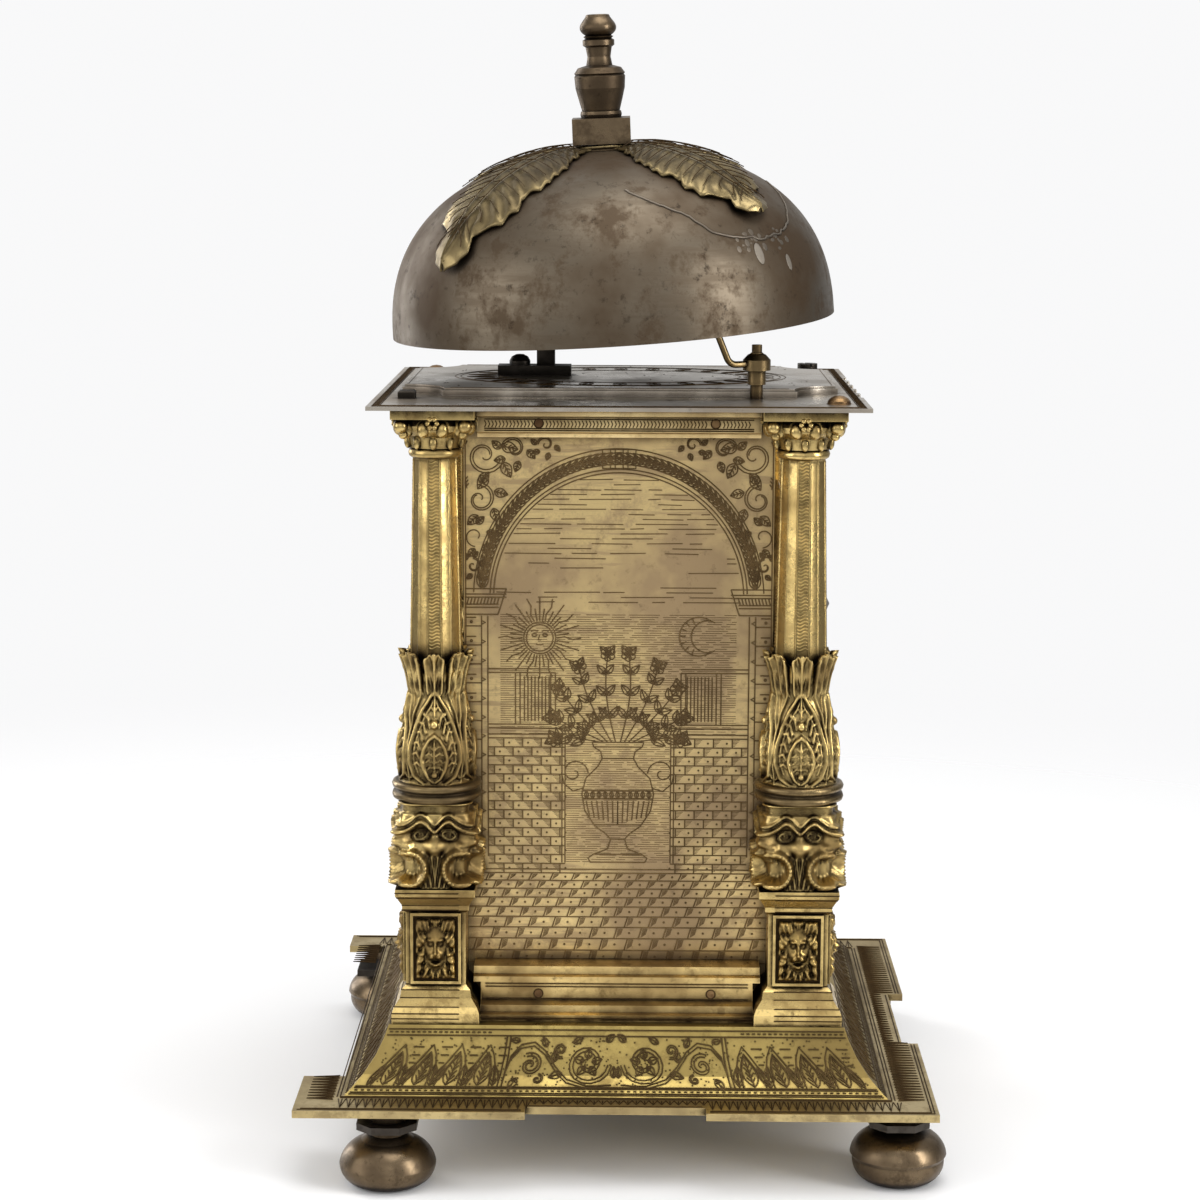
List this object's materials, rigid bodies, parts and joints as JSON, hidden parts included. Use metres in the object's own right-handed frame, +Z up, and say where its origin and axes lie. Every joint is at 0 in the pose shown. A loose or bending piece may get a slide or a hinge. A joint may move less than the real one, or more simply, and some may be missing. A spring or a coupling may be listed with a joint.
{
  "type": "tabernacle clock",
  "caption": "Tower-shaped table clock with a square engraved case between corner columns, a stepped base on bun feet, and a bell with finial over the top.",
  "frame": {"origin": "centre of the foot contact plane", "axes": "+Z up, the dial faces -Y, the engraved side with the hammer at its dial end faces -X"},
  "size_m": [0.1662, 0.1636, 0.2903],
  "materials": {
    "gilt_brass": "worn gilding, engraved and cast ornament",
    "panel_brass": "engraved, worn gilding",
    "flange_brass": "engraved, dull",
    "top_brass": "satin, faintly engraved",
    "bell_bronze": "mottled dark patina, satin",
    "dark_bronze": "dark patina with worn edges",
    "leaf_brass": "dull, engraved veins",
    "blackened_iron": "filed, blackened",
    "frame_iron": "filed",
    "wheel_brass": "clean, satin",
    "steel": "polished",
    "gut": "twisted gut line"
  },
  "bodies": {
    "case": {"base_flange": "flange_brass", "base_slope": "gilt_brass", "pedestals": "gilt_brass", "mask_blocks": "gilt_brass", "column_front_left": "gilt_brass", "column_front_right": "gilt_brass", "column_back_left": "gilt_brass", "column_back_right": "gilt_brass", "capitals": "gilt_brass", "lower_mouldings": "gilt_brass", "upper_mouldings": "gilt_brass", "rivets": "gilt_brass", "chapter_ring": "gilt_brass", "corner_latch": "gilt_brass", "foot_front_left": "dark_bronze", "foot_front_right": "dark_bronze", "foot_back_left": "dark_bronze", "foot_back_right": "dark_bronze", "bell_washer": "dark_bronze", "finial": "dark_bronze", "foot_plates": "blackened_iron", "slotted_screws": "blackened_iron", "bell_stand": "blackened_iron", "column_rods": "frame_iron", "bottom_plate": "frame_iron", "movement_pillars": "frame_iron", "front_bar": "frame_iron", "middle_bar": "frame_iron", "back_bar": "frame_iron", "side_panel_left": "panel_brass", "side_panel_right": "panel_brass", "dial_plate": "panel_brass", "back_panel": "panel_brass", "case_top_sheet": "top_brass", "movement_top_plate": "top_brass", "bell": "bell_bronze", "bell_leaves": "leaf_brass", "hammer_spring": "steel", "escapement_cocks": "wheel_brass", "gut_lines": "gut"},
    "going_barrel": {"going_barrel": "wheel_brass"},
    "going_fusee": {"going_fusee": "wheel_brass"},
    "second_wheel": {"second_wheel": "wheel_brass"},
    "third_wheel": {"third_wheel": "wheel_brass"},
    "crown_wheel": {"crown_wheel": "wheel_brass"},
    "verge": {"verge_and_balance": "steel"},
    "idler_wheel": {"idler_wheel": "wheel_brass"},
    "hour_work": {"hour_wheel": "wheel_brass", "hour_hand": "steel", "hand_knob": "steel"},
    "strike_barrel": {"strike_barrel": "wheel_brass"},
    "strike_fusee": {"strike_fusee": "wheel_brass"},
    "pin_wheel": {"pin_wheel": "wheel_brass"},
    "locking_wheel": {"locking_wheel": "wheel_brass"},
    "fly": {"fly": "wheel_brass"},
    "count_wheel": {"count_wheel": "wheel_brass"},
    "release_lever": {"release_lever": "steel"},
    "hammer_lifter": {"hammer_lifter": "steel"},
    "hammer": {"hammer": "blackened_iron", "hammer_arbor": "steel"}
  },
  "joints": [
    {"name": "third_wheel_turn", "type": "hinge", "parent": "case", "child": "third_wheel", "pos_m": [0, 0, 0.1032], "axis": [0, 1, 0], "continuous": true},
    {"name": "second_wheel_turn", "type": "hinge", "parent": "case", "child": "second_wheel", "pos_m": [0, 0, 0.0845], "axis": [0, 1, 0], "continuous": true},
    {"name": "going_fusee_turn", "type": "hinge", "parent": "case", "child": "going_fusee", "pos_m": [0.01612, 0, 0.072], "axis": [0, 1, 0], "continuous": true},
    {"name": "going_barrel_turn", "type": "hinge", "parent": "case", "child": "going_barrel", "pos_m": [-0.018, 0, 0.072], "axis": [0, 1, 0], "continuous": true},
    {"name": "crown_wheel_turn", "type": "hinge", "parent": "case", "child": "crown_wheel", "pos_m": [0, 0, 0.1202], "axis": [0, 1, 0], "continuous": true},
    {"name": "idler_wheel_turn", "type": "hinge", "parent": "case", "child": "idler_wheel", "pos_m": [-0.00244, 0, 0.09557], "axis": [0, 1, 0], "continuous": true},
    {"name": "hour_hand_turn", "type": "hinge", "parent": "case", "child": "hour_work", "pos_m": [0, 0, 0.136], "axis": [0, 1, 0], "continuous": true},
    {"name": "locking_wheel_turn", "type": "hinge", "parent": "case", "child": "locking_wheel", "pos_m": [0.002, 0, 0.10437], "axis": [0, 1, 0], "continuous": true},
    {"name": "pin_wheel_turn", "type": "hinge", "parent": "case", "child": "pin_wheel", "pos_m": [0.002, 0, 0.08637], "axis": [0, 1, 0], "continuous": true},
    {"name": "strike_fusee_turn", "type": "hinge", "parent": "case", "child": "strike_fusee", "pos_m": [-0.01612, 0, 0.077], "axis": [0, 1, 0], "continuous": true},
    {"name": "strike_barrel_turn", "type": "hinge", "parent": "case", "child": "strike_barrel", "pos_m": [0.018, 0, 0.077], "axis": [0, 1, 0], "continuous": true},
    {"name": "fly_turn", "type": "hinge", "parent": "case", "child": "fly", "pos_m": [0.002, 0, 0.12037], "axis": [0, 1, 0], "continuous": true},
    {"name": "count_wheel_turn", "type": "hinge", "parent": "case", "child": "count_wheel", "pos_m": [0, 0, 0.09341], "axis": [0, 1, 0], "continuous": true},
    {"name": "verge_swing", "type": "hinge", "parent": "case", "child": "verge", "pos_m": [0, -0.0221, 0.12], "axis": [0, 0, 1], "range_deg": [-45, 45]},
    {"name": "hammer_swing", "type": "hinge", "parent": "case", "child": "hammer", "pos_m": [-0.035, -0.0345, 0.1], "axis": [0, 0, 1], "range_deg": [-20, 0], "stiffness_Nm_per_rad": 0.004},
    {"name": "hammer_lifter_rock", "type": "hinge", "parent": "case", "child": "hammer_lifter", "pos_m": [-0.031, 0, 0.106], "axis": [0, 1, 0], "range_deg": [0, 11]},
    {"name": "release_lever_rock", "type": "hinge", "parent": "case", "child": "release_lever", "pos_m": [0.031, 0, 0.106], "axis": [0, 1, 0], "range_deg": [0, 8]}
  ],
  "couplings": [
    {"joint": "second_wheel_turn", "follows": "third_wheel_turn", "ratio": -0.13333},
    {"joint": "going_fusee_turn", "follows": "third_wheel_turn", "ratio": 0.017778},
    {"joint": "going_barrel_turn", "follows": "third_wheel_turn", "ratio": 0.013333},
    {"joint": "crown_wheel_turn", "follows": "third_wheel_turn", "ratio": -7.5},
    {"joint": "idler_wheel_turn", "follows": "third_wheel_turn", "ratio": -0.0059259},
    {"joint": "hour_hand_turn", "follows": "third_wheel_turn", "ratio": 0.0074074},
    {"joint": "pin_wheel_turn", "follows": "locking_wheel_turn", "ratio": -0.125},
    {"joint": "strike_fusee_turn", "follows": "locking_wheel_turn", "ratio": 0.016667},
    {"joint": "strike_barrel_turn", "follows": "locking_wheel_turn", "ratio": 0.0125},
    {"joint": "fly_turn", "follows": "locking_wheel_turn", "ratio": -7},
    {"joint": "count_wheel_turn", "follows": "locking_wheel_turn", "ratio": -0.012821},
    {"joint": "hammer_lifter_rock", "follows": "hammer_swing", "ratio": -0.55}
  ]
}
